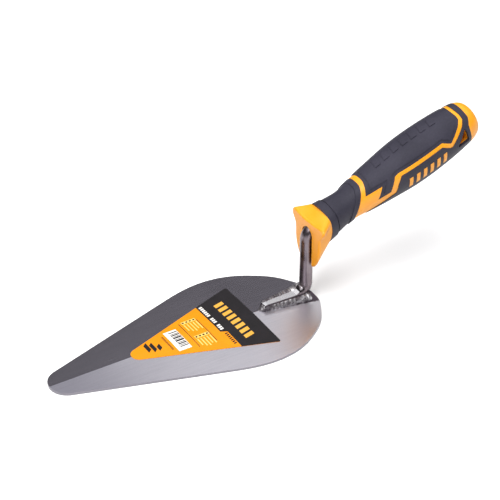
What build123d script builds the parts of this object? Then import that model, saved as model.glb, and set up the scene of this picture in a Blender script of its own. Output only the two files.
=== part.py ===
from build123d import *
from math import cos, radians, sin, tan
import os

os.makedirs("parts", exist_ok=True)

# Pointing (brick) trowel.  +X runs from the blade's tip to the butt of the handle and +Z is up.
# The origin is at the middle of the whole tool, on the surface that the blade lies on.

# ---- driving dimensions, in millimetres ----
BLADE_LENGTH = 178.0
BLADE_THICKNESS = 1.5
BLADE_TIP_X = -146.65           # the tip, so that the whole tool is centred on X = 0
BLADE_HALF_WIDTH = 45.4
WIDEST_FROM_TIP = 126.6
TIP_RADIUS = 12.1
SIDE_ANGLE = 17.8               # each straight side leaves the centre line at this angle
RIDGE_RISE = 1.3                # the pressed centre ridge stands this far above the widest part's rim
TIP_RISE = 0.35                 # and this far above the rim beside the tip
TIP_HALF_WIDTH = 12.1           # half the width where that rise is measured
RIM_LAND = 0.1                  # depth of the flat land left along each side of the underside

ROD_RADIUS = 4.0
ROD_FROM_TIP = 173.2            # where the upright stem stands
FOOT_FROM_TIP = 143.0           # where the toe of the rod's foot lies
FOOT_BEND = 5.0
NECK_BEND = 7.0
TANG_DEPTH = 72.0               # how far the tang reaches along the handle
FIT_GAP = 0.05

HANDLE_TILT = 21.2
HANDLE_HEIGHT = 47.85           # height of the handle's axis at its front face
GRIP_WALL = 2.0                 # thickness of the soft grip over the hard core
STEP_DEPTH = 0.45               # depth of the step round the thumb panel
WAIST_DEPTH = 0.6               # depth of the neck sleeve's waist between its two cuffs
GROOVE_DEPTH = 1.1              # depth of the groove behind the sleeve's front cuff
GROOVE_WIDTH = 1.0
RIB_HEIGHT = 0.5
LINE_RECESS = 0.35              # the core's ring and lines lie this far below the soft grip
BAR_HEIGHT = 0.15               # and the bars stand this far above it
LABEL_THICKNESS = 0.15

TIP_SLOPE = tan(radians(SIDE_ANGLE))
BLADE_HEEL_X = BLADE_TIP_X + BLADE_LENGTH
ROD_X = BLADE_TIP_X + ROD_FROM_TIP
FACE_X = ROD_X + 1.5            # where the collar's flange is widest, behind its rounded front
COLLAR_BACK_X = FACE_X + 9.5    # where the collar's flare has met the neck
FOOT_Z = BLADE_THICKNESS + RIDGE_RISE + ROD_RADIUS + FIT_GAP

AXIS = Vector(cos(radians(HANDLE_TILT)), 0, sin(radians(HANDLE_TILT)))
HANDLE_START = Vector(ROD_X + 0.3, 0, HANDLE_HEIGHT)
# Side view of the handle: local x runs along its axis and local y is up, square to it.
SIDE = Plane(origin=HANDLE_START, x_dir=AXIS, z_dir=(0, -1, 0))
# Plan view of the handle: local x runs along its axis and local y is +Y.
TOP = Plane(origin=HANDLE_START, x_dir=AXIS, z_dir=(-AXIS.Z, 0, AXIS.X))
WIDE = 40.0                     # more than half the handle's width, for cutting prisms

# Radius of the handle at stations along its axis, neck to butt.
GRIP_PROFILE = [
    (-2, 13.0), (8, 12.6), (12, 12.2), (20, 11.2), (28, 10.5), (36, 11.3), (44, 12.5), (56, 13.9),
    (70, 15.3), (84, 15.7), (98, 15.2), (110, 14.2), (118, 13.1),
]
BUTT_CORNER = (123.5, 10.6)
BUTT_END = 126.6


# ---- shapes that several pieces share ----
def blade_outline():
    """Plan of the blade: round tip, straight sides, broad round heel."""
    side_x = TIP_RADIUS * (1 - sin(radians(SIDE_ANGLE)))
    side_y = TIP_RADIUS * cos(radians(SIDE_ANGLE))
    shoulder = 98.0
    shoulder_y = side_y + (shoulder - side_x) * TIP_SLOPE
    with BuildSketch(Plane.XY) as plan:
        with BuildLine():
            start = (BLADE_TIP_X + side_x, side_y)
            RadiusArc((BLADE_TIP_X, 0), start, TIP_RADIUS)
            Line(start, (BLADE_TIP_X + shoulder, shoulder_y))
            Spline(
                (BLADE_TIP_X + shoulder, shoulder_y),
                (BLADE_TIP_X + WIDEST_FROM_TIP, BLADE_HALF_WIDTH),
                (BLADE_TIP_X + 145.0, 41.7),
                (BLADE_TIP_X + 159.2, 33.4),
                (BLADE_TIP_X + 169.4, 23.7),
                (BLADE_TIP_X + 175.6, 13.2),
                (BLADE_HEEL_X, 0),
                tangents=[(1, TIP_SLOPE), (0, -1)],
            )
            mirror(about=Plane.XZ)
        make_face()
    return plan.sketch


def gable(lift):
    """Everything under the blade's ridged top face, raised by lift: a long shallow roof."""
    half = 50.0
    stations = [
        (BLADE_TIP_X - 1, TIP_RISE, TIP_HALF_WIDTH),
        (BLADE_TIP_X + WIDEST_FROM_TIP, RIDGE_RISE, BLADE_HALF_WIDTH),
        (BLADE_HEEL_X + 1, RIDGE_RISE, BLADE_HALF_WIDTH),
    ]
    with BuildPart() as roof:
        for x, rise, width in stations:
            ridge_z = BLADE_THICKNESS + rise + lift
            eave_z = ridge_z - rise * half / width
            with BuildSketch(Plane(origin=(x, 0, 0), x_dir=(0, 1, 0), z_dir=(1, 0, 0))):
                Polygon(
                    (-half, -5), (half, -5), (half, eave_z), (0, ridge_z), (-half, eave_z),
                    align=None,
                )
        loft(ruled=True)
    return roof.part


def rod_form(radius, reach):
    """The bent round bar: a foot along the blade, an upright stem, and a tang in the handle."""
    crossing_z = HANDLE_HEIGHT - 0.3 * tan(radians(HANDLE_TILT))
    tang_end = HANDLE_START + AXIS * reach
    with BuildPart() as bar:
        with BuildLine() as route:
            FilletPolyline(
                (BLADE_TIP_X + FOOT_FROM_TIP, 0, FOOT_Z),
                (ROD_X, 0, FOOT_Z),
                (ROD_X, 0, crossing_z),
                tang_end,
                radius=[FOOT_BEND, NECK_BEND],
            )
        with BuildSketch(Plane(route.line @ 0, z_dir=route.line % 0)):
            Circle(radius)
        sweep()
    return bar.part


def grip_form(inset):
    """The handle's round body, smaller all over by inset."""
    points = [(s, r - inset) for s, r in GRIP_PROFILE]
    corner = (BUTT_CORNER[0] - inset, BUTT_CORNER[1] - inset)
    with BuildPart() as body:
        with BuildSketch(SIDE):
            with BuildLine():
                Spline(*points)
                Spline(points[-1], corner, (BUTT_END - inset, 0), tangents=[(1, -0.25), (0, -1)])
                Polyline((BUTT_END - inset, 0), (points[0][0], 0), points[0])
            make_face()
        revolve(axis=Axis(HANDLE_START, AXIS))
    return body.part


def side_prism(*outlines):
    """Side-view outlines of the handle, drawn through its whole width."""
    with BuildPart() as prism:
        for outline in outlines:
            with BuildSketch(SIDE):
                Polygon(*outline, align=None)
            extrude(amount=WIDE, both=True)
    return prism.part


# ---- side-view layout of the handle: hard yellow core showing between the soft dark grips ----
RING_FRONT = [(40.4, 18), (39.7, 10.9), (37.3, 7.5), (32.1, 1.2), (28.2, -4.1), (25.4, -18)]
RING_REAR = [(39.0, 5.2), (39.7, 6.4), (42.9, 11.3), (44.2, 18)]
STROKE_LOWER = [
    (34, -18), (38, -7.0), (57.2, -3.9), (60.2, 1.2), (63.9, 5.1), (94.8, 4.9), (99.6, 1.0),
    (101.3, 0.8), (105.8, 3.3), (112.6, 7.2), (115.4, 9.6), (115.6, 11.8), (113.6, 18),
]
STROKE_UPPER = [
    (111.4, 18), (113.5, 12.0), (113.3, 10.6), (110.5, 8.5), (101.1, 3.3), (95.9, 7.0),
    (62.9, 7.2), (60.2, 6.5), (54.0, -1.2), (45.0, -1.1), (50.5, 5.4),
]
BUTT_EDGE = [
    (119.4, 18), (119.3, 8.7), (116.9, 5.4), (116.3, 2.2), (115.8, -4.9), (115.5, -18),
]
YELLOW_BAND = RING_FRONT + STROKE_LOWER + STROKE_UPPER + RING_REAR
PANEL_ZONE = RING_REAR[::-1] + STROKE_UPPER[::-1]


def save(piece, name):
    """Label a finished piece and write it as its own STEP file."""
    piece.label = name
    export_step(piece, "parts/" + name + ".step")


# ---- blade: one pressed sheet with a shallow centre ridge and a flat land under each side ----
with BuildPart() as blade:
    add(blade_outline())
    extrude(amount=10)
    add(gable(0), mode=Mode.INTERSECT)
    add(gable(-BLADE_THICKNESS - RIM_LAND), mode=Mode.SUBTRACT)
save(blade.part, "blade")

# ---- tang rod: its foot is hammered flatter and narrower towards the blade's tip ----
TOE_X = BLADE_TIP_X + FOOT_FROM_TIP
TOE_HALF_WIDTH = 2.2
FLAT_END_X = ROD_X - 9          # where the hammered flat ends and the bend begins
TANG_TAPER = 14.0               # length of the tang's tapered end
TANG_END_HALF = 1.6             # half the thickness of that end
with BuildPart() as tang_rod:
    add(rod_form(ROD_RADIUS, TANG_DEPTH))
    with BuildSketch(Plane.XZ):
        Polygon(
            (TOE_X - 1, FOOT_Z - 0.6), (TOE_X + 1.5, FOOT_Z), (FLAT_END_X, FOOT_Z + 0.9),
            (FLAT_END_X + 2.5, FOOT_Z + 2.0), (FLAT_END_X + 4.6, FOOT_Z + 5.0), (TOE_X - 1, FOOT_Z + 9),
            align=None,
        )
    extrude(amount=2 * ROD_RADIUS, both=True, mode=Mode.SUBTRACT)
    with BuildSketch(Plane.XY):
        Polygon(
            (TOE_X - 1, TOE_HALF_WIDTH), (FLAT_END_X, ROD_RADIUS + 0.1),
            (FLAT_END_X, 2 * ROD_RADIUS), (TOE_X - 1, 2 * ROD_RADIUS),
            align=None,
        )
        mirror(about=Plane.XZ)
    extrude(amount=FOOT_Z + ROD_RADIUS + 1, mode=Mode.SUBTRACT)
    with BuildSketch(SIDE):
        Polygon(
            (TANG_DEPTH - TANG_TAPER, ROD_RADIUS + 1), (TANG_DEPTH - TANG_TAPER, ROD_RADIUS),
            (TANG_DEPTH + 1, TANG_END_HALF), (TANG_DEPTH + 1, ROD_RADIUS + 1),
            align=None,
        )
        mirror(about=Plane.XZ)
    extrude(amount=2 * ROD_RADIUS, both=True, mode=Mode.SUBTRACT)
save(tang_rod.part, "tang_rod")


# ---- weld: a bead along each side of the foot, and one round its toe ----
BEAD_INNER = 0.6                # the beads start this far from the centre line, under the foot
BEAD_BULGE = 0.62               # height of the bead's middle, as a part of its whole height


def side_bead(side, stations):
    """A fillet of weld metal between the foot and the blade, growing towards the stem."""
    with BuildPart() as bead:
        for x, reach, height in stations:
            with BuildSketch(Plane(origin=(x, 0, 0), x_dir=(0, side, 0), z_dir=(side, 0, 0))):
                with BuildLine():
                    base = BLADE_THICKNESS
                    top = BLADE_THICKNESS + RIDGE_RISE + height
                    middle = (0.6 * reach, base + BEAD_BULGE * (top - base))
                    Polyline((reach, base), (BEAD_INNER, base), (BEAD_INNER, top))
                    ThreePointArc((BEAD_INNER, top), middle, (reach, base))
                make_face()
        loft()
        add(gable(FIT_GAP / 2), mode=Mode.SUBTRACT)
        add(rod_form(ROD_RADIUS + FIT_GAP / 2, TANG_DEPTH), mode=Mode.SUBTRACT)
    return bead.part


# Each station: place along the foot, reach from the centre line, height above the ridge.
RIGHT_STATIONS = [(TOE_X + 1, 2.7, 1.9), (TOE_X + 12, 5.7, 2.8), (ROD_X + 1, 8.3, 4.2)]
LEFT_STATIONS = [(TOE_X + 1, 4.4, 2.8), (TOE_X + 12, 6.6, 4.0), (ROD_X + 1, 10.6, 6.4)]
save(side_bead(-1, RIGHT_STATIONS), "weld_bead_right")
save(side_bead(1, LEFT_STATIONS), "weld_bead_left")

TOE_BEAD_RADIUS = 3.6
with BuildPart() as weld_toe:
    with Locations((TOE_X - 0.8, 0, BLADE_THICKNESS - 0.3)):
        Sphere(TOE_BEAD_RADIUS)
    add(gable(FIT_GAP / 2), mode=Mode.SUBTRACT)
    with BuildSketch(Plane.XY):
        with Locations((TOE_X + 10, 0)):
            Rectangle(2 * (10 + FIT_GAP), 4 * TOE_BEAD_RADIUS)
    extrude(amount=4 * TOE_BEAD_RADIUS, mode=Mode.SUBTRACT)
save(weld_toe.part, "weld_toe")

# ---- handle core: hard yellow plastic, with the flared collar at the front ----
# The collar's front face is a shield with a chin that reaches down beside the stem.
SHIELD = [
    (0, 56.2), (6.0, 56.3), (11.8, 57.0), (15.4, 57.0), (17.2, 55.2), (16.3, 52.6), (14.1, 49.6),
    (13.2, 44.6), (12.9, 38.6), (11.6, 33.6), (9.3, 29.2), (5.5, 25.6), (0, 24.4),
]
NECK_ANGLES = [90, 72, 56, 44, 34, 24, 10, -8, -26, -44, -62, -77, -90]
NECK_CENTRE_Z = 51.5
# The flange's front edge is rounded: how far ahead of the flange, and how far in from its edge.
COLLAR_EDGE = [(0, 0, 0.7, 0.3), (0.7, 0.3, 1.2, 1.2)]
NECK_HALF_WIDTH = 12.0
NECK_HALF_HEIGHT = 12.6


def upright_plane(x):
    """A plane square to X, with local x along +Y and local y up."""
    return Plane(origin=(x, 0, 0), x_dir=(0, 1, 0), z_dir=(1, 0, 0))


def closed_curve(half):
    """A smooth closed outline from its +Y half, which runs from the top to the bottom."""
    other = [(-y, z) for y, z in half[-2:0:-1]]
    with BuildSketch() as sketch:
        with BuildLine():
            Spline(*(half + other), periodic=True)
        make_face()
    return sketch.sketch


def shrunk(half, inset):
    """A half outline drawn in by about inset on every side."""
    middle_z = 42.0
    across = 1 - inset / 15
    upward = 1 - inset / 16
    return [(y * across, middle_z + (z - middle_z) * upward) for y, z in half]


neck_half = []
for angle in NECK_ANGLES:
    y = NECK_HALF_WIDTH * cos(radians(angle))
    neck_half.append((y, NECK_CENTRE_Z + NECK_HALF_HEIGHT * sin(radians(angle))))

with BuildPart() as collar_form:
    with BuildSketch(upright_plane(FACE_X)):
        add(closed_curve(SHIELD))
    with BuildSketch(upright_plane(COLLAR_BACK_X)):
        add(closed_curve(neck_half))
    loft()
    for start, start_inset, end, end_inset in COLLAR_EDGE:
        with BuildSketch(upright_plane(FACE_X - start)):
            add(closed_curve(shrunk(SHIELD, start_inset)))
        with BuildSketch(upright_plane(FACE_X - end)):
            add(closed_curve(shrunk(SHIELD, end_inset)))
        loft(ruled=True)

# The collar meets the neck sleeve on a line that bows back towards the butt.
with BuildPart() as collar_zone:
    with BuildSketch(Plane.XZ):
        with BuildLine():
            ThreePointArc((FACE_X + 5.4, 64.2), (FACE_X + 8.7, 52.0), (FACE_X + 5.6, 39.0))
            Polyline(
                (FACE_X + 5.6, 39.0), (FACE_X + 4.1, 15), (FACE_X - 20, 15), (FACE_X - 20, 72),
                (FACE_X + 4.1, 72), (FACE_X + 5.4, 64.2),
            )
        make_face()
    extrude(amount=WIDE, both=True)

# Slanted bars stand through the soft grip along each side.
BAR_COUNT = 6
BAR_PITCH = 5.2
BAR_WIDTH = 2.5
BAR_SLANT = 1.6
BAR_START = 66.0
BAR_LOW = -5.6
BAR_HIGH = 0.6
bars = []
for i in range(BAR_COUNT):
    s = BAR_START + i * BAR_PITCH
    bars.append([
        (s, BAR_LOW), (s + BAR_WIDTH, BAR_LOW), (s + BAR_WIDTH + BAR_SLANT, BAR_HIGH),
        (s + BAR_SLANT, BAR_HIGH),
    ])

BUTT_ZONE = BUTT_EDGE + [(BUTT_END + 5, -18), (BUTT_END + 5, 18)]
HANG_HOLE = [(113.8, 6.2), (114.0, -4.4), (103.7, -3.2)]
HANG_HOLE_CORNER = 1.0
SLOT_HALF_WIDTH = 5.3
SLOT_TOP = 51.3
SLOT_BOTTOM = 10.0              # below the collar's chin
SLOT_ARCH_Z = SLOT_TOP - 4.6    # where the slot's arched top starts
SLOT_BACK_X = ROD_X + 0.4       # where the slot's round back starts
SLOT_FRONT_X = FACE_X - 5       # ahead of the collar

with BuildPart() as hang_hole:
    with BuildSketch(SIDE) as triangle:
        Polygon(*HANG_HOLE, align=None)
        fillet(triangle.vertices(), HANG_HOLE_CORNER)
    extrude(amount=WIDE, both=True)

with BuildPart() as stem_slot:
    with BuildSketch(Plane.XY.offset(SLOT_BOTTOM)):
        with BuildLine():
            left_back = (SLOT_BACK_X, SLOT_HALF_WIDTH)
            right_back = (SLOT_BACK_X, -SLOT_HALF_WIDTH)
            Polyline(
                left_back, (SLOT_FRONT_X, SLOT_HALF_WIDTH), (SLOT_FRONT_X, -SLOT_HALF_WIDTH), right_back,
            )
            ThreePointArc(right_back, (SLOT_BACK_X + SLOT_HALF_WIDTH, 0), left_back)
        make_face()
    extrude(amount=SLOT_TOP - SLOT_BOTTOM)
    with BuildSketch(upright_plane(SLOT_FRONT_X)):
        with BuildLine():
            left_arch = (-SLOT_HALF_WIDTH, SLOT_ARCH_Z)
            right_arch = (SLOT_HALF_WIDTH, SLOT_ARCH_Z)
            Polyline(
                left_arch, (-SLOT_HALF_WIDTH, SLOT_BOTTOM), (SLOT_HALF_WIDTH, SLOT_BOTTOM), right_arch,
            )
            ThreePointArc(right_arch, (0, SLOT_TOP), left_arch)
        make_face()
    extrude(amount=4 * SLOT_HALF_WIDTH, mode=Mode.INTERSECT)

# The core before its slot, socket and hang hole are cut.
with BuildPart() as core_blank:
    add(grip_form(LINE_RECESS) & side_prism(YELLOW_BAND))
    add(grip_form(0) & side_prism(BUTT_ZONE))
    add(grip_form(-BAR_HEIGHT) & side_prism(*bars))
    add(grip_form(GRIP_WALL) - collar_zone.part)
    add(collar_form.part & collar_zone.part)

with BuildPart() as handle_core:
    add(core_blank.part)
    add(stem_slot.part, mode=Mode.SUBTRACT)
    add(rod_form(ROD_RADIUS + FIT_GAP, TANG_DEPTH + 1), mode=Mode.SUBTRACT)
    add(hang_hole.part, mode=Mode.SUBTRACT)
save(handle_core.part, "handle_core")

# ---- neck sleeve: soft grip from the collar to the yellow ring, with a waist between two cuffs ----
SLEEVE_ZONE = [(-8, 18), (-8, -18)] + RING_FRONT[::-1]
WAIST_FRONT = [(17.0, 18), (17.0, 5), (15.0, -4), (11.0, -18)]
WAIST_REAR = [(22.0, -18), (25.0, -3.5), (29.0, 1.8), (36.4, 10.6), (37.0, 18)]
SLEEVE_WAIST = WAIST_FRONT + WAIST_REAR
SLEEVE_GROOVE = WAIST_FRONT + [(s + GROOVE_WIDTH, y) for s, y in WAIST_FRONT[::-1]]
with BuildPart() as neck_grip_sleeve:
    add(grip_form(0))
    add(side_prism(SLEEVE_ZONE), mode=Mode.INTERSECT)
    add(collar_zone.part, mode=Mode.SUBTRACT)
    add((grip_form(0) - grip_form(WAIST_DEPTH)) & side_prism(SLEEVE_WAIST), mode=Mode.SUBTRACT)
    add((grip_form(0) - grip_form(GROOVE_DEPTH)) & side_prism(SLEEVE_GROOVE), mode=Mode.SUBTRACT)
    add(core_blank.part, mode=Mode.SUBTRACT)
    add(stem_slot.part, mode=Mode.SUBTRACT)
save(neck_grip_sleeve.part, "neck_grip_sleeve")

# ---- thumb panel: the raised pad on top, with a stepped margin and a row of slanted ribs ----
STEP_MARGIN = 2.2
RIB_COUNT = 7
RIB_PITCH = 7.0
RIB_START = 54.0
RIB_LENGTH = 4.2
RIB_HALF_WIDTH = 3.6
RIB_SLANT = 1.6
with BuildPart() as pad_zone:
    with BuildSketch(SIDE):
        Polygon(*PANEL_ZONE, align=None)
        offset(amount=-STEP_MARGIN, kind=Kind.INTERSECTION)
    extrude(amount=WIDE, both=True)

with BuildPart() as rib_zone:
    with BuildSketch(TOP.offset(5)):
        for i in range(RIB_COUNT):
            s = RIB_START + i * RIB_PITCH
            Polygon(
                (s, -RIB_HALF_WIDTH), (s + RIB_LENGTH, -RIB_HALF_WIDTH),
                (s + RIB_LENGTH + RIB_SLANT, RIB_HALF_WIDTH), (s + RIB_SLANT, RIB_HALF_WIDTH),
                align=None,
            )
    extrude(amount=WIDE / 2)

with BuildPart() as thumb_grip_panel:
    add(grip_form(-RIB_HEIGHT) & rib_zone.part)
    add(grip_form(0) & pad_zone.part)
    add(grip_form(STEP_DEPTH) & side_prism(PANEL_ZONE))
    add(core_blank.part, mode=Mode.SUBTRACT)
save(thumb_grip_panel.part, "thumb_grip_panel")

# ---- palm shell: the rest of the soft grip, round the underside and the butt end ----
PALM_ZONE = STROKE_LOWER + [(119.4, 18)] + BUTT_EDGE[1:]
with BuildPart() as palm_grip_shell:
    add(grip_form(0))
    add(side_prism(PALM_ZONE), mode=Mode.INTERSECT)
    add(core_blank.part, mode=Mode.SUBTRACT)
    add(hang_hole.part, mode=Mode.SUBTRACT)
save(palm_grip_shell.part, "palm_grip_shell")

# ---- label: a thin sticker over the ridge, its sides a little less slender than the blade's ----
LABEL_END = BLADE_TIP_X + 135.7
LABEL_HALF_WIDTH = 32.2
LABEL_SLOPE = 0.343             # how fast each side leaves the centre line
LABEL_APEX_RADIUS = 5.4
LABEL_CORNER = 1.2
LABEL_POINT = LABEL_END - LABEL_HALF_WIDTH / LABEL_SLOPE
with BuildPart() as label_sticker:
    with BuildSketch(Plane.XY) as label_plan:
        Polygon(
            (LABEL_POINT, 0), (LABEL_END, -LABEL_HALF_WIDTH), (LABEL_END, LABEL_HALF_WIDTH),
            align=None,
        )
        fillet(label_plan.vertices().sort_by(Axis.X)[0], LABEL_APEX_RADIUS)
        fillet(label_plan.vertices().group_by(Axis.X)[-1], LABEL_CORNER)
    extrude(amount=10)
    add(gable(LABEL_THICKNESS), mode=Mode.INTERSECT)
    add(gable(0), mode=Mode.SUBTRACT)
save(label_sticker.part, "label_sticker")
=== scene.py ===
import math

import bmesh
import bpy
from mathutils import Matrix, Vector


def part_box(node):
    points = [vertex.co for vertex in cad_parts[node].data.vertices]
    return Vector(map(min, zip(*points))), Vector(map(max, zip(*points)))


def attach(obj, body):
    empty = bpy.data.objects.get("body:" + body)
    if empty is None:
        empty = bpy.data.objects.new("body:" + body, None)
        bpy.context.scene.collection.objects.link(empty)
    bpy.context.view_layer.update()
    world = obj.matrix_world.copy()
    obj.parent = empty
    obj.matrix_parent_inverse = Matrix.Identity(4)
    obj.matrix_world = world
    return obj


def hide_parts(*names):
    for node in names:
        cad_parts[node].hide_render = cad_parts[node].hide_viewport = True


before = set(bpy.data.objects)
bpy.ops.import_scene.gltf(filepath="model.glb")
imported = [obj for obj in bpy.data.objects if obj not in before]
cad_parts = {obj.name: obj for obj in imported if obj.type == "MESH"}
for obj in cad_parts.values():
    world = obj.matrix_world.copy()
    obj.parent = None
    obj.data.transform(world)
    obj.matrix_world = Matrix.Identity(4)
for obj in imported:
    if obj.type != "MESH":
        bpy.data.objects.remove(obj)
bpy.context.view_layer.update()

MM = 0.001

# ---- where things are, from the frame, in metres ----
TIP_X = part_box("blade")[0][0]
STEM_X = TIP_X + 173.2 * MM
TOE_X = TIP_X + 143.0 * MM

# ---- camera ----
CAMERA_AZIMUTH = math.radians(-31.406)
CAMERA_ELEVATION = math.radians(33.77)
CAMERA_DISTANCE = 1.1
CAMERA_TARGET = Vector((0.8, 22.6, 31.2)) * MM
CAMERA_LENS = 131.24


# ---- node helpers ----
def new_material(name):
    """A material with only a Principled BSDF and its output; returns (material, tree, shader)."""
    material = bpy.data.materials.new(name)
    material.use_nodes = True
    tree = material.node_tree
    shader = tree.nodes["Principled BSDF"]
    return material, tree, shader


def node(tree, kind, **settings):
    """Add a node and set its properties."""
    made = tree.nodes.new(kind)
    for key, value in settings.items():
        setattr(made, key, value)
    return made


def feed(tree, target, *sources):
    """Give a node's inputs, in order, a value or a link; None leaves a socket as it is."""
    for index, source in enumerate(sources):
        if source is None:
            continue
        if isinstance(source, bpy.types.NodeSocket):
            tree.links.new(source, target.inputs[index])
        else:
            target.inputs[index].default_value = source
    return target


def math_node(tree, operation, first, second=0.0, clamp=False):
    made = node(tree, "ShaderNodeMath", operation=operation, use_clamp=clamp)
    feed(tree, made, first, second)
    return made.outputs[0]


def map_range(tree, value, low, high, to_low=0.0, to_high=1.0, smooth=False):
    made = node(tree, "ShaderNodeMapRange")
    if smooth:
        made.interpolation_type = "SMOOTHSTEP"
    feed(tree, made, value, low, high, to_low, to_high)
    return made.outputs[0]


def blend_colour(tree, factor, first, second, mode="MIX"):
    made = node(tree, "ShaderNodeMix", data_type="RGBA", blend_type=mode)
    for index, source in ((0, factor), (6, first), (7, second)):
        if isinstance(source, bpy.types.NodeSocket):
            tree.links.new(source, made.inputs[index])
        else:
            made.inputs[index].default_value = source
    return made.outputs[2]


def object_place(tree):
    return node(tree, "ShaderNodeTexCoord").outputs["Object"]


def scaled_place(tree, scale):
    mapping = node(tree, "ShaderNodeMapping")
    mapping.inputs["Scale"].default_value = scale
    tree.links.new(object_place(tree), mapping.inputs["Vector"])
    return mapping.outputs["Vector"]


def new_group(name, inputs, outputs):
    """An empty shader node group; returns (group, input node, output node)."""
    group = bpy.data.node_groups.new(name, "ShaderNodeTree")
    for socket_name, kind, value in inputs:
        made = group.interface.new_socket(name=socket_name, in_out="INPUT", socket_type=kind)
        if value is not None:
            made.default_value = value
    for socket_name, kind in outputs:
        group.interface.new_socket(name=socket_name, in_out="OUTPUT", socket_type=kind)
    return group, group.nodes.new("NodeGroupInput"), group.nodes.new("NodeGroupOutput")


def use_group(tree, group, **values):
    made = tree.nodes.new("ShaderNodeGroup")
    made.node_tree = group
    for key, value in values.items():
        socket = made.inputs[key.replace("_", " ").capitalize()]
        if isinstance(value, bpy.types.NodeSocket):
            tree.links.new(value, socket)
        else:
            socket.default_value = value
    return made


# ---- shared effects ----
def make_mottle():
    """Slow, cloudy variation between two limits."""
    group, start, end = new_group(
        "mottle",
        [("Place", "NodeSocketVector", None), ("Scale", "NodeSocketFloat", 60.0),
         ("Detail", "NodeSocketFloat", 4.0), ("Low", "NodeSocketFloat", 0.0),
         ("High", "NodeSocketFloat", 1.0)],
        [("Amount", "NodeSocketFloat")],
    )
    noise = node(group, "ShaderNodeTexNoise")
    group.links.new(start.outputs["Place"], noise.inputs["Vector"])
    group.links.new(start.outputs["Scale"], noise.inputs["Scale"])
    group.links.new(start.outputs["Detail"], noise.inputs["Detail"])
    spread = map_range(group, noise.outputs[0], 0.3, 0.7, start.outputs["Low"], start.outputs["High"])
    group.links.new(spread, end.inputs["Amount"])
    return group


def make_grain():
    """Fine moulded or ground grain as a height and a bumped normal."""
    group, start, end = new_group(
        "grain",
        [("Place", "NodeSocketVector", None), ("Scale", "NodeSocketFloat", 2000.0),
         ("Depth", "NodeSocketFloat", 0.00005), ("Strength", "NodeSocketFloat", 0.3)],
        [("Height", "NodeSocketFloat"), ("Normal", "NodeSocketVector")],
    )
    noise = node(group, "ShaderNodeTexNoise")
    noise.inputs["Detail"].default_value = 3.0
    group.links.new(start.outputs["Place"], noise.inputs["Vector"])
    group.links.new(start.outputs["Scale"], noise.inputs["Scale"])
    bump = node(group, "ShaderNodeBump")
    group.links.new(start.outputs["Strength"], bump.inputs["Strength"])
    group.links.new(start.outputs["Depth"], bump.inputs["Distance"])
    group.links.new(noise.outputs[0], bump.inputs["Height"])
    group.links.new(noise.outputs[0], end.inputs["Height"])
    group.links.new(bump.outputs[0], end.inputs["Normal"])
    return group


MOTTLE = make_mottle()
GRAIN = make_grain()


# ---- materials ----
BLADE_LENGTH = 178 * MM
BROAD_FROM_TIP = 95 * MM        # the right half's painted reflection gets lighter up to here
HEEL_FROM_TIP = 130 * MM        # and its painted reflection gets lighter again from here to the heel
# the left half's painted shade lightens over this length
LEFT_TONE_LENGTH = 170 * MM
RIDGE_BLEND = 0.15 * MM
FLAT_TOP_Z = 9.0 * MM           # the painted highlight on the foot's upward faces is below this height
BEND_Z = 11.5 * MM              # and the rod's own skin is above this one


def separate(tree, vector):
    made = node(tree, "ShaderNodeSeparateXYZ")
    tree.links.new(vector, made.inputs[0])
    return made.outputs


def darkening_around_weld(tree, place):
    """How much the sheet is darkened around the weld: a band that widens to the heel."""
    x, y, z = separate(tree, place)
    along = map_range(tree, x, TOE_X - 4 * MM, STEM_X + 4 * MM)
    reach = map_range(tree, along, 0, 1, 1.5 * MM, 9.5 * MM)
    ragged = use_group(tree, MOTTLE, place=place, scale=260.0, low=-0.8 * MM, high=0.8 * MM)
    distance = math_node(tree, "ADD", math_node(tree, "ABSOLUTE", y), ragged.outputs[0])
    inside = math_node(tree, "SUBTRACT", reach, distance)
    spread = map_range(tree, inside, -1.2 * MM, 0.8 * MM, 0, 1, smooth=True)
    start = map_range(tree, x, TOE_X - 3 * MM, TOE_X + 1 * MM)
    return math_node(tree, "MULTIPLY", spread, start)


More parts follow.
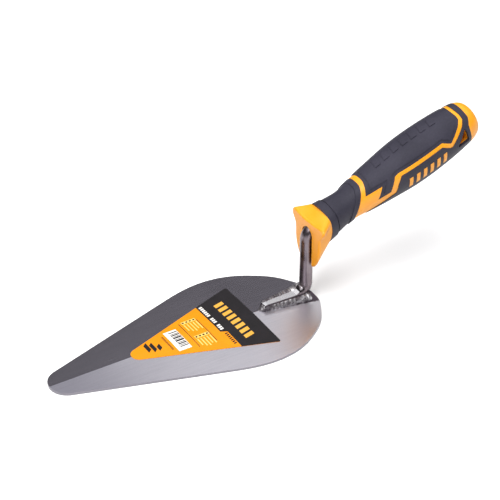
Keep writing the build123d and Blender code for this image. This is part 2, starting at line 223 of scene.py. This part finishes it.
def blade_steel():
    """Ground sheet with painted reflection: the half on the +Y side is painted darker, as shade, than the
    other half, which is painted light and lighter towards the heel.
    """
    material, tree, shader = new_material("ground_steel_painted_reflection")
    shader.inputs["Metallic"].default_value = 1.0
    place = object_place(tree)
    x, y, z = separate(tree, place)
    grind = use_group(tree, GRAIN, place=scaled_place(tree, (60, 1500, 1500)), scale=1.0, depth=0.000006,
                      strength=0.12)
    cloud = use_group(tree, MOTTLE, place=place, scale=24.0, low=0.0, high=0.40)
    streak = use_group(tree, MOTTLE, place=scaled_place(tree, (45, 900, 900)), scale=1.0, low=0.0, high=0.35)
    speck = use_group(tree, MOTTLE, place=place, scale=1300.0, low=0.0, high=0.25)
    tone = math_node(tree, "ADD", cloud.outputs[0], streak.outputs[0])
    tone = math_node(tree, "ADD", tone, speck.outputs[0])
    # Painted reflection and shade: the -Y half is painted light, the +Y half dark.
    painted_lit_half = map_range(tree, y, RIDGE_BLEND, -RIDGE_BLEND)
    painted_reflection_ramp = map_range(tree, x, TIP_X, TIP_X + BROAD_FROM_TIP, 0.0, 1.0, smooth=True)
    painted_dim_reflection = blend_colour(tree, tone, (0.36, 0.35, 0.41, 1), (0.47, 0.46, 0.53, 1))
    painted_light_tone = blend_colour(tree, tone, (0.72, 0.71, 0.78, 1), (0.90, 0.88, 0.95, 1))
    painted_lit_colour = blend_colour(tree, painted_reflection_ramp, painted_dim_reflection, painted_light_tone)
    # Painted reflection: the -Y half is painted lighter still towards the heel.
    painted_heel_reflection = map_range(tree, x, TIP_X + HEEL_FROM_TIP, TIP_X + BLADE_LENGTH, 0.0, 1.0, smooth=True)
    painted_lit_colour = blend_colour(tree, painted_heel_reflection, painted_lit_colour, (0.97, 0.95, 1.0, 1))
    # Painted shade: the +Y half, darkest at the tip, a little lighter towards the heel.
    painted_shade_at_tip = blend_colour(tree, tone, (0.235, 0.225, 0.26, 1), (0.27, 0.257, 0.297, 1))
    painted_shade_at_heel = blend_colour(tree, tone, (0.355, 0.335, 0.39, 1), (0.405, 0.38, 0.44, 1))
    along = map_range(tree, x, TIP_X, TIP_X + LEFT_TONE_LENGTH)
    painted_shade_colour = blend_colour(tree, along, painted_shade_at_tip, painted_shade_at_heel)
    colour = blend_colour(tree, painted_lit_half, painted_shade_colour, painted_lit_colour)
    # The sheet is darker in a band around the weld.
    colour = blend_colour(tree, darkening_around_weld(tree, place), colour, (0.15, 0.12, 0.145, 1))
    normal = node(tree, "ShaderNodeNewGeometry").outputs["Normal"]
    upright = math_node(tree, "ABSOLUTE", separate(tree, normal)[2])
    sheared_edge = map_range(tree, upright, 0.5, 0.8, 1, 0)
    colour = blend_colour(tree, sheared_edge, colour, (0.22, 0.21, 0.235, 1))
    tree.links.new(colour, shader.inputs["Base Color"])
    rough = map_range(tree, painted_lit_half, 0, 1, 0.22, 0.32)
    rough = math_node(tree, "ADD", rough, math_node(tree, "MULTIPLY", tone, 0.06))
    tree.links.new(rough, shader.inputs["Roughness"])
    tree.links.new(grind.outputs["Normal"], shader.inputs["Normal"])
    return material


def rod_steel():
    material, tree, shader = new_material("drawn_bar_steel_painted_highlight")
    shader.inputs["Metallic"].default_value = 1.0
    place = object_place(tree)
    cloud = use_group(tree, MOTTLE, place=place, scale=140.0, low=0.0, high=1.0)
    drawn = use_group(tree, MOTTLE, place=scaled_place(tree, (700, 700, 40)), scale=1.0, low=0.0, high=1.0)
    tone = math_node(tree, "ADD", math_node(tree, "MULTIPLY", cloud.outputs[0], 0.5),
                     math_node(tree, "MULTIPLY", drawn.outputs[0], 0.5))
    bar = blend_colour(tree, tone, (0.10, 0.080, 0.090, 1), (0.26, 0.222, 0.240, 1))
    x, y, z = separate(tree, place)
    # Painted highlight: faces of the foot that point up, below BEND_Z, are painted nearly white.
    facing_up = separate(tree, node(tree, "ShaderNodeNewGeometry").outputs["Normal"])[2]
    flat = map_range(tree, facing_up, 0.55, 0.85, 0, 1, smooth=True)
    foot = map_range(tree, z, BEND_Z, FLAT_TOP_Z)
    painted_foot_highlight = math_node(tree, "MULTIPLY", flat, foot)
    painted_light_tone = use_group(tree, MOTTLE, place=place, scale=600.0, low=0.9, high=1.1)
    painted_foot_highlight = math_node(tree, "MULTIPLY", painted_foot_highlight, painted_light_tone.outputs[0], clamp=True)
    colour = blend_colour(tree, painted_foot_highlight, bar, (0.93, 0.92, 0.95, 1))
    tree.links.new(colour, shader.inputs["Base Color"])
    rough = map_range(tree, cloud.outputs[0], 0, 1, 0.24, 0.34)
    tree.links.new(rough, shader.inputs["Roughness"])
    grain = use_group(tree, GRAIN, place=place, scale=1500.0, depth=0.00003, strength=0.2)
    tree.links.new(grain.outputs["Normal"], shader.inputs["Normal"])
    return material


def weld_metal():
    material, tree, shader = new_material("weld_metal")
    shader.inputs["Metallic"].default_value = 1.0
    place = object_place(tree)
    cloud = use_group(tree, MOTTLE, place=place, scale=520.0, low=0.0, high=1.0)
    scorch = use_group(tree, MOTTLE, place=place, scale=190.0, low=-0.3, high=1.2)
    tone = math_node(tree, "MULTIPLY", cloud.outputs[0], scorch.outputs[0], clamp=True)
    colour = blend_colour(tree, tone, (0.17, 0.15, 0.165, 1), (0.93, 0.92, 0.94, 1))
    tree.links.new(colour, shader.inputs["Base Color"])
    tree.links.new(map_range(tree, tone, 0, 1, 0.55, 0.34), shader.inputs["Roughness"])
    grain = use_group(tree, GRAIN, place=place, scale=1100.0, depth=0.0002, strength=0.5)
    tree.links.new(grain.outputs["Normal"], shader.inputs["Normal"])
    return material


def core_plastic():
    material, tree, shader = new_material("yellow_hard_plastic")
    place = object_place(tree)
    cloud = use_group(tree, MOTTLE, place=place, scale=90.0, low=0.0, high=1.0)
    colour = blend_colour(tree, cloud.outputs[0], (0.74, 0.285, 0.009, 1), (0.78, 0.308, 0.013, 1))
    tree.links.new(colour, shader.inputs["Base Color"])
    tree.links.new(map_range(tree, cloud.outputs[0], 0, 1, 0.32, 0.40), shader.inputs["Roughness"])
    shader.inputs["Subsurface Weight"].default_value = 0.10
    shader.inputs["Subsurface Radius"].default_value = (0.004, 0.002, 0.0005)
    shader.inputs["Subsurface Scale"].default_value = 0.5
    grain = use_group(tree, GRAIN, place=place, scale=1600.0, depth=0.00004, strength=0.15)
    tree.links.new(grain.outputs["Normal"], shader.inputs["Normal"])
    return material


def soft_grip():
    material, tree, shader = new_material("soft_dark_rubber")
    place = object_place(tree)
    cloud = use_group(tree, MOTTLE, place=place, scale=70.0, low=0.0, high=1.0)
    bloom = use_group(tree, MOTTLE, place=place, scale=900.0, low=0.0, high=1.0)
    tone = math_node(tree, "ADD", math_node(tree, "MULTIPLY", cloud.outputs[0], 0.6),
                     math_node(tree, "MULTIPLY", bloom.outputs[0], 0.4))
    colour = blend_colour(tree, tone, (0.021, 0.020, 0.030, 1), (0.036, 0.034, 0.049, 1))
    tree.links.new(colour, shader.inputs["Base Color"])
    shader.inputs["Specular IOR Level"].default_value = 0.27
    tree.links.new(map_range(tree, tone, 0, 1, 0.48, 0.60), shader.inputs["Roughness"])
    grain = use_group(tree, GRAIN, place=place, scale=2600.0, depth=0.0001, strength=0.35)
    tree.links.new(grain.outputs["Normal"], shader.inputs["Normal"])
    return material


def printed_film(name, low, high, roughness=(0.28, 0.36)):
    """The label's film or one of its inks: two close tones, slightly glossy."""
    material, tree, shader = new_material(name)
    place = object_place(tree)
    cloud = use_group(tree, MOTTLE, place=place, scale=160.0, low=0.0, high=1.0)
    tree.links.new(blend_colour(tree, cloud.outputs[0], (*low, 1), (*high, 1)), shader.inputs["Base Color"])
    tree.links.new(map_range(tree, cloud.outputs[0], 0, 1, *roughness), shader.inputs["Roughness"])
    shader.inputs["Specular IOR Level"].default_value = 0.25
    grain = use_group(tree, GRAIN, place=place, scale=700.0, depth=0.00001, strength=0.2)
    tree.links.new(grain.outputs["Normal"], shader.inputs["Normal"])
    return material


def paint_node(name, material):
    """Give a CAD node its finish."""
    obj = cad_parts[name]
    obj.data.materials.clear()
    obj.data.materials.append(material)


STEEL = blade_steel()
ROD = rod_steel()
WELD = weld_metal()
YELLOW = core_plastic()
RUBBER = soft_grip()
FILM = printed_film("label_film_yellow", (0.60, 0.205, 0.002), (0.65, 0.225, 0.003))
INK_BLACK = printed_film("label_ink_black", (0.010, 0.009, 0.010), (0.014, 0.012, 0.014), (0.42, 0.50))
INK_YELLOW = printed_film("label_ink_yellow", (0.55, 0.28, 0.035), (0.62, 0.33, 0.055))
INK_WHITE = printed_film("label_ink_white", (0.62, 0.60, 0.56), (0.70, 0.68, 0.66))
INK_CREAM = printed_film("label_ink_cream", (0.74, 0.45, 0.10), (0.80, 0.52, 0.16))
INK_BROWN = printed_film("label_ink_brown", (0.10, 0.035, 0.006), (0.14, 0.050, 0.010))

paint_node("blade", STEEL)
paint_node("tang_rod", ROD)
for name in ("weld_bead_right", "weld_bead_left", "weld_toe"):
    paint_node(name, WELD)
paint_node("handle_core", YELLOW)
for name in ("neck_grip_sleeve", "thumb_grip_panel", "palm_grip_shell"):
    paint_node(name, RUBBER)
paint_node("label_sticker", FILM)


# ---- modelling helpers ----
def deselect_all():
    if bpy.context.object and bpy.context.object.mode != "OBJECT":
        bpy.ops.object.mode_set(mode="OBJECT")
    bpy.ops.object.select_all(action="DESELECT")


def take(piece):
    """Make one object the only one selected, and the active one."""
    deselect_all()
    piece.select_set(True)
    bpy.context.view_layer.objects.active = piece


def apply_modifier(piece, kind, **settings):
    """Add a modifier with these settings and apply it at once."""
    take(piece)
    modifier = piece.modifiers.new(kind.lower(), kind)
    for key, value in settings.items():
        setattr(modifier, key, value)
    bpy.ops.object.modifier_apply(modifier=modifier.name)


def finish_piece(piece, material, replaced=()):
    """Merge doubles, turn the faces outwards, paint the piece and let it ride on the tool."""
    take(piece)
    bpy.ops.object.mode_set(mode="EDIT")
    bpy.ops.mesh.select_all(action="SELECT")
    bpy.ops.mesh.remove_doubles(threshold=0.000001)
    bpy.ops.mesh.normals_make_consistent(inside=False)
    bpy.ops.object.mode_set(mode="OBJECT")
    piece.data.materials.clear()
    piece.data.materials.append(material)
    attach(piece, "root")
    if replaced:
        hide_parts(*replaced)


# ---- label print ----
INK_THICKNESS = 0.02 * MM
ABOVE_LABEL = 20 * MM           # patches start here and are pressed down onto the label
BAND_EDGE = 109.35              # the dark end starts this far from the tip, in mm
BAND_STEP = 113.2               # and this far on the near side of its step
STEP_ACROSS = -6.0              # where the step is, from the ridge
LARGE_BARS = 8
WHITE_BLOCKS = 14
WHITE_GAPS = (6, 10)
LINE_LENGTHS = (6.5, 8.2, 9.0, 7.4, 8.4)


def start_print(name):
    """An empty flat mesh, open in edit mode, for patches of one ink."""
    deselect_all()
    bpy.ops.mesh.primitive_plane_add(size=0.001)
    piece = bpy.context.object
    piece.name = name
    bpy.ops.object.mode_set(mode="EDIT")
    bpy.ops.mesh.delete(type="VERT")
    return piece


def patch(along, across, length, width, slant=0.0):
    """Add a flat patch to the print: its middle from the blade's tip and from the ridge, in mm."""
    centre = (TIP_X + along * MM, across * MM, 0.0)
    bpy.ops.mesh.select_all(action="DESELECT")
    bpy.ops.mesh.primitive_plane_add(size=1, location=centre)
    bpy.ops.transform.resize(value=(length * MM, width * MM, 1), center_override=centre)
    if slant:
        bpy.ops.mesh.select_all(action="DESELECT")
        mesh = bmesh.from_edit_mesh(bpy.context.edit_object.data)
        mesh.verts.ensure_lookup_table()
        for vert in mesh.verts[-4:]:
            vert.select_set(vert.co.x > centre[0])
        mesh.select_flush(True)
        bmesh.update_edit_mesh(bpy.context.edit_object.data)
        bpy.ops.transform.translate(value=(0, slant * MM, 0))


def lay_print(piece, lift, material):
    """Cut the print at the ridge, press it onto the label and give it its thickness."""
    bpy.ops.mesh.select_all(action="SELECT")
    bpy.ops.transform.translate(value=(0, 0, ABOVE_LABEL))
    bpy.ops.mesh.bisect(plane_co=(0, 0, 0), plane_no=(0, 1, 0))
    bpy.ops.object.mode_set(mode="OBJECT")
    apply_modifier(piece, "SHRINKWRAP", target=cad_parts["label_sticker"], wrap_method="PROJECT",
                   use_project_z=True, use_negative_direction=True, use_positive_direction=False,
                   wrap_mode="ON_SURFACE")
    take(piece)
    bpy.ops.object.mode_set(mode="EDIT")
    bpy.ops.mesh.select_all(action="SELECT")
    bpy.ops.transform.translate(value=(0, 0, lift))
    bpy.ops.object.mode_set(mode="OBJECT")
    apply_modifier(piece, "SOLIDIFY", thickness=INK_THICKNESS, offset=-1)
    finish_piece(piece, material)


def black_band():
    """The dark end of the label: the top faces of a copy of the sticker, cut to a stepped edge."""
    deselect_all()
    piece = bpy.data.objects.new("label_print_black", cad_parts["label_sticker"].data.copy())
    bpy.context.collection.objects.link(piece)
    take(piece)
    bpy.ops.object.mode_set(mode="EDIT")
    bpy.ops.mesh.select_all(action="SELECT")
    bpy.ops.mesh.remove_doubles(threshold=0.000001)
    for point, direction in (
        ((TIP_X + BAND_EDGE * MM, 0, 0), (1, 0, 0)),
        ((TIP_X + BAND_STEP * MM, 0, 0), (1, 0, 0)),
        ((TIP_X + BAND_EDGE * MM, STEP_ACROSS * MM, 0), (0.5, 1, 0)),
    ):
        bpy.ops.mesh.select_all(action="SELECT")
        bpy.ops.mesh.bisect(plane_co=point, plane_no=direction)
    bpy.ops.mesh.select_all(action="DESELECT")
    bpy.ops.mesh.select_mode(type="FACE")
    bpy.ops.object.mode_set(mode="OBJECT")
    for face in piece.data.polygons:
        along = (face.center.x - TIP_X) / MM
        across = face.center.y / MM
        below_step = 0.5 * (along - BAND_EDGE) + (across - STEP_ACROSS) < 0
        outside = along < BAND_EDGE or (along < BAND_STEP and below_step)
        face.select = outside or face.normal.z < 0.9
    bpy.ops.object.mode_set(mode="EDIT")
    bpy.ops.mesh.delete(type="FACE")
    bpy.ops.mesh.select_all(action="SELECT")
    bpy.ops.transform.translate(value=(0, 0, INK_THICKNESS))
    bpy.ops.object.mode_set(mode="OBJECT")
    apply_modifier(piece, "SOLIDIFY", thickness=INK_THICKNESS, offset=-1)
    finish_piece(piece, INK_BLACK)


black_band()

inks = start_print("label_print_yellow")
for i in range(LARGE_BARS):
    patch(122.6, 17.4 - 5.0 * i, 6.6, 3.1, slant=1.5)
lay_print(inks, 2.5 * INK_THICKNESS, INK_YELLOW)

inks = start_print("label_print_white")
for i in range(WHITE_BLOCKS):
    if i not in WHITE_GAPS:
        patch(111.6, 21.2 - 1.95 * i, 2.3, 1.35, slant=0.3)
patch(83.7, 0.2, 8.5, 20.2)
lay_print(inks, 2.5 * INK_THICKNESS, INK_WHITE)

inks = start_print("label_print_cream")
for across in (13.1, -3.2):
    patch(98.4, across, 9.4, 2.5)
    for i, length in enumerate(LINE_LENGTHS):
        patch(94.3 + 2.05 * i, across - 2.0 - length / 2, 0.75, length)
lay_print(inks, INK_THICKNESS, INK_CREAM)

inks = start_print("label_print_brown")
patch(91.9, 0.7, 0.5, 25.8)
patch(103.6, 0.2, 0.5, 24.7)
for i in range(11):
    patch(77.2, 6.9 - 1.3 * i, 1.3, 0.9)
lay_print(inks, INK_THICKNESS, INK_BROWN)

inks = start_print("label_print_marks")
for across in (13.1, -3.2):
    for i in range(4):
        patch(94.7 + 2.4 * i, across, 1.3, 1.2)
for i in range(7):
    patch(111.6, -9.4 - 1.75 * i, 1.9, 1.0, slant=0.3)
for across, width in (
    (8.2, 0.8), (6.4, 0.5), (5.2, 1.0), (3.7, 0.5), (2.4, 1.3), (0.8, 0.5),
    (-0.6, 1.4), (-2.4, 0.6), (-3.7, 1.0), (-5.1, 0.5), (-6.4, 0.8),
):
    patch(84.9, across, 5.6, width)
patch(64.9, 1.6, 2.6, 7.4, slant=2.2)
patch(68.0, 0.2, 2.4, 7.6, slant=2.2)
patch(71.3, -1.6, 2.6, 4.4, slant=2.2)
lay_print(inks, 4 * INK_THICKNESS, INK_BLACK)


# ---- weld metal ----
BLADE_TOP = 2.8                 # height of the ridge, in mm
BLADE_CORE = 2.0                # the weld reaches down to here, inside the sheet
SLIVER = 0.02 * MM
WELD_GRAIN = 0.28 * MM          # size of the finest ripple
NEAR_DROPS = 36
FAR_DROPS = 18
FOOT_RUN = (STEM_X - TOE_X) / MM
TOE = TOE_X / MM
STEM = STEM_X / MM


def keep_main_body(piece):
    """Delete every loose bit of a mesh but the one with the most faces."""
    mesh = bmesh.new()
    mesh.from_mesh(piece.data)
    waiting = set(mesh.faces)
    bodies = []
    while waiting:
        body = []
        edge_of_body = [waiting.pop()]
        while edge_of_body:
            face = edge_of_body.pop()
            body.append(face)
            for edge in face.edges:
                for neighbour in edge.link_faces:
                    if neighbour in waiting:
                        waiting.remove(neighbour)
                        edge_of_body.append(neighbour)
        bodies.append(body)
    bodies.sort(key=len)
    for body in bodies[:-1]:
        bmesh.ops.delete(mesh, geom=body, context="FACES")
    mesh.to_mesh(piece.data)
    mesh.free()


def cut_flat_below(piece, height):
    """Cut a closed piece off at a height and close it again with a flat underside."""
    take(piece)
    bpy.ops.object.mode_set(mode="EDIT")
    bpy.ops.mesh.select_all(action="SELECT")
    bpy.ops.mesh.bisect(plane_co=(0, 0, height), plane_no=(0, 0, 1), clear_inner=True, use_fill=False)
    bpy.ops.object.mode_set(mode="OBJECT")
    keep_main_body(piece)
    take(piece)
    bpy.ops.object.mode_set(mode="EDIT")
    bpy.ops.mesh.select_all(action="SELECT")
    bpy.ops.mesh.remove_doubles(threshold=SLIVER)
    bpy.ops.mesh.dissolve_degenerate(threshold=SLIVER)
    bpy.ops.mesh.select_all(action="SELECT")
    bpy.ops.mesh.fill_holes(sides=0)
    bpy.ops.mesh.select_all(action="SELECT")
    bpy.ops.mesh.quads_convert_to_tris(quad_method="BEAUTY", ngon_method="BEAUTY")
    bpy.ops.object.mode_set(mode="OBJECT")


def weld_run(name, drops, replaced, roughness_depth):
    """Molten drops, each (x, y, z, half length, half width, half height) in mm, run together."""
    deselect_all()
    bpy.ops.mesh.primitive_ico_sphere_add(subdivisions=2, radius=MM)
    piece = bpy.context.object
    piece.name = name
    bpy.ops.object.mode_set(mode="EDIT")
    bpy.ops.mesh.delete(type="VERT")
    for x, y, z, half_length, half_width, half_height in drops:
        centre = (x * MM, y * MM, z * MM)
        bpy.ops.mesh.select_all(action="DESELECT")
        bpy.ops.mesh.primitive_ico_sphere_add(subdivisions=2, radius=1, location=centre)
        bpy.ops.transform.resize(
            value=(half_length * MM, half_width * MM, half_height * MM), center_override=centre
        )
    bpy.ops.object.mode_set(mode="OBJECT")
    apply_modifier(piece, "REMESH", mode="VOXEL", voxel_size=WELD_GRAIN)
    keep_main_body(piece)
    apply_modifier(piece, "SMOOTH", factor=0.5, iterations=2)
    pits = bpy.data.textures.new(name + "_pits", "CLOUDS")
    pits.noise_scale = 1.1 * MM
    apply_modifier(piece, "DISPLACE", texture=pits, strength=roughness_depth * MM, mid_level=0.5)
    cut_flat_below(piece, BLADE_CORE * MM)
    take(piece)
    bpy.ops.object.shade_smooth()
    finish_piece(piece, WELD, replaced)


near_drops = []
for i in range(NEAR_DROPS):
    t = i / (NEAR_DROPS - 1)
    sway = 0.12 * math.sin(2.4 * i)
    near_drops.append((
        TOE + 0.8 + t * (FOOT_RUN - 1.0), -(1.9 + 2.6 * t) + sway, BLADE_TOP + 0.4,
        0.75 + 0.15 * t, 1.0 + 2.4 * t, 2.8 + 1.1 * t + 0.22 * math.cos(1.9 * i),
    ))
weld_run("weld_bead_near", near_drops, ("weld_bead_right",), 0.45)

far_drops = []
for i in range(FAR_DROPS):
    t = i / (FAR_DROPS - 1)
    x = TOE + 1.5 + t * (FOOT_RUN - 1.5)
    sway = 0.5 * math.sin(2.1 * i)
    far_drops += [
        (x, 2.0 + 1.5 * t, BLADE_TOP + 2.2 + 1.0 * t, 1.8, 1.5 + 1.9 * t, 2.6 + 1.2 * t + 0.3 * sway),
        (x, 2.6 + 3.2 * t + sway, BLADE_TOP + 0.3, 1.7, 1.9 + 1.3 * t, 2.6 + 1.2 * t),
        (x, 3.4 + 5.2 * t - 0.6 * sway, BLADE_TOP, 1.8, 1.6 + 0.9 * t, 1.3 + 0.8 * t),
    ]
far_drops += [
    (STEM - 6.0, 2.0, 7.4, 2.6, 2.6, 1.9), (STEM - 4.4, 2.6, 8.4, 2.4, 2.4, 2.6),
    (STEM - 1.4, 4.0, 7.2, 2.6, 2.2, 2.8), (STEM + 1.4, 4.2, 5.6, 2.6, 2.2, 2.8),
]
weld_run("weld_bead_far", far_drops, ("weld_bead_left",), 0.6)

toe_drops = [
    (TOE - 1.0, 0.0, BLADE_TOP + 0.2, 1.9, 2.1, 1.6), (TOE + 0.2, -0.9, BLADE_TOP + 0.8, 1.5, 1.5, 2.2),
    (TOE + 0.2, 0.9, BLADE_TOP + 0.9, 1.5, 1.6, 2.4), (TOE - 2.4, 0.3, BLADE_TOP, 1.3, 1.3, 0.7),
]
weld_run("weld_toe_cap", toe_drops, ("weld_toe",), 0.3)


# ---- studio ----
def add_floor():
    bpy.ops.mesh.primitive_plane_add(size=6, location=(0, 0, 0))
    floor = bpy.context.object
    floor.name = "floor"
    material, tree, shader = new_material("studio_floor")
    shader.inputs["Base Color"].default_value = (0.84, 0.84, 0.84, 1)
    shader.inputs["Roughness"].default_value = 0.9
    floor.data.materials.append(material)


def add_softbox(name, azimuth, elevation, distance, size, power, mirrored=True):
    """A rectangular lamp that looks at the tool; shiny pieces show it only when it is mirrored."""
    light = bpy.data.lights.new(name, "AREA")
    light.shape = "RECTANGLE"
    light.size, light.size_y = size
    light.energy = power
    lamp = bpy.data.objects.new(name, light)
    bpy.context.collection.objects.link(lamp)
    turn, rise = math.radians(azimuth), math.radians(elevation)
    away = Vector((math.sin(turn) * math.cos(rise), -math.cos(turn) * math.cos(rise), math.sin(rise)))
    lamp.location = away * distance
    lamp.visible_glossy = mirrored
    lamp.rotation_euler = away.to_track_quat("Z", "Y").to_euler()


def add_world():
    """A studio that is dark at the sides and light above: its walls end at WALL_TOP degrees up."""
    world = bpy.data.worlds.new("studio")
    world.use_nodes = True
    tree = world.node_tree
    height = separate(tree, node(tree, "ShaderNodeTexCoord").outputs["Generated"])[2]
    low, high = (math.sin(math.radians(WALL_TOP + turn)) for turn in (-1.0, 1.6))
    level = map_range(tree, height, low, high, WALL_LEVEL, CEILING_LEVEL, smooth=True)
    tree.links.new(level, tree.nodes["Background"].inputs["Strength"])
    tree.nodes["Background"].inputs["Color"].default_value = (1.0, 0.99, 1.0, 1)
    bpy.context.scene.world = world


def add_camera():
    camera = bpy.data.objects.new("camera", bpy.data.cameras.new("camera"))
    bpy.context.collection.objects.link(camera)
    away = Vector((
        math.sin(CAMERA_AZIMUTH) * math.cos(CAMERA_ELEVATION),
        -math.cos(CAMERA_AZIMUTH) * math.cos(CAMERA_ELEVATION),
        math.sin(CAMERA_ELEVATION),
    ))
    camera.location = CAMERA_TARGET + away * CAMERA_DISTANCE
    camera.rotation_euler = away.to_track_quat("Z", "Y").to_euler()
    camera.data.lens = CAMERA_LENS
    camera.data.clip_end = 50
    bpy.context.scene.camera = camera


WALL_TOP = 36.5
WALL_LEVEL = 0.10
CEILING_LEVEL = 0.95
add_floor()
add_world()
add_softbox("overhead_softbox", -60, 76, 1.5, (1.1, 1.1), 30, mirrored=False)
add_softbox("front_fill", -50, 52, 1.7, (0.8, 0.8), 10)
add_camera()
bpy.context.scene.view_settings.view_transform = "Standard"
